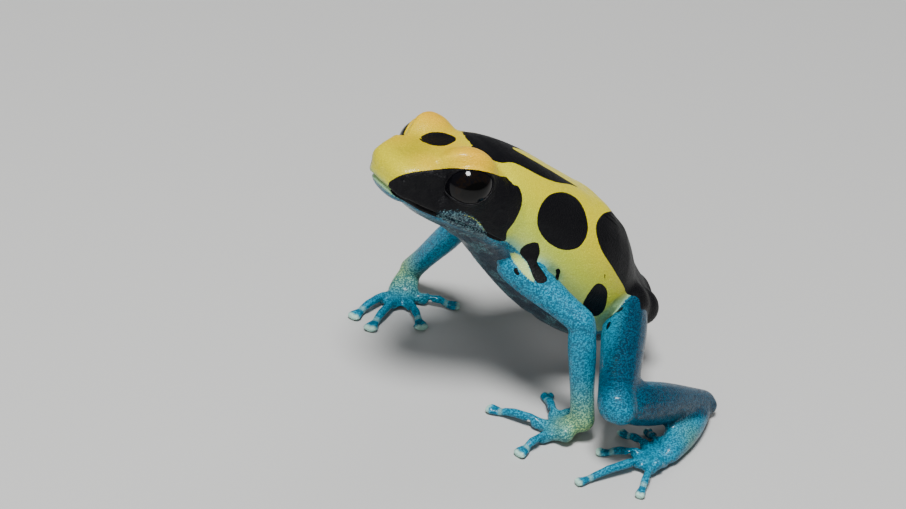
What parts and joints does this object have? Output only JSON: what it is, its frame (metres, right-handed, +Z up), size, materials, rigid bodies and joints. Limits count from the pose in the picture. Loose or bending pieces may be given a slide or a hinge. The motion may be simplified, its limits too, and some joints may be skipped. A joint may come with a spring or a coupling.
{
  "type": "poison dart frog model",
  "caption": "Life-size still model of a poison dart frog sitting alert on straight arms, yellow with black spots and blue limbs.",
  "frame": {"origin": "on the floor under the centre of the frog's box", "axes": "+Z up, -Y the way the frog faces, +X the frog's left side"},
  "size_m": [0.0468, 0.0344, 0.0268],
  "materials": {
    "skin_yellow": "satin, finely granular",
    "skin_blue": "satin, finely granular",
    "skin_cyan": "satin, smooth",
    "skin_pale_green": "satin, finely granular",
    "eye_black": "wet gloss"
  },
  "bodies": {
    "root": {"head": "skin_yellow", "torso": "skin_yellow", "eye_left": "eye_black", "upper_arm_left": "skin_blue", "forearm_left": "skin_blue", "hand_left": "skin_pale_green", "finger_left_1": "skin_cyan", "finger_left_2": "skin_cyan", "finger_left_3": "skin_cyan", "finger_left_4": "skin_cyan", "thigh_left": "skin_blue", "shank_left": "skin_blue", "tarsus_left": "skin_blue", "foot_left": "skin_blue", "toe_left_1": "skin_cyan", "toe_left_2": "skin_cyan", "toe_left_3": "skin_cyan", "toe_left_4": "skin_cyan", "toe_left_5": "skin_cyan", "eye_right": "eye_black", "upper_arm_right": "skin_blue", "forearm_right": "skin_blue", "hand_right": "skin_pale_green", "finger_right_1": "skin_cyan", "finger_right_2": "skin_cyan", "finger_right_3": "skin_cyan", "finger_right_4": "skin_cyan", "thigh_right": "skin_blue", "shank_right": "skin_blue", "tarsus_right": "skin_blue", "foot_right": "skin_blue", "toe_right_1": "skin_cyan", "toe_right_2": "skin_cyan", "toe_right_3": "skin_cyan", "toe_right_4": "skin_cyan", "toe_right_5": "skin_cyan"}
  },
  "joints": []
}
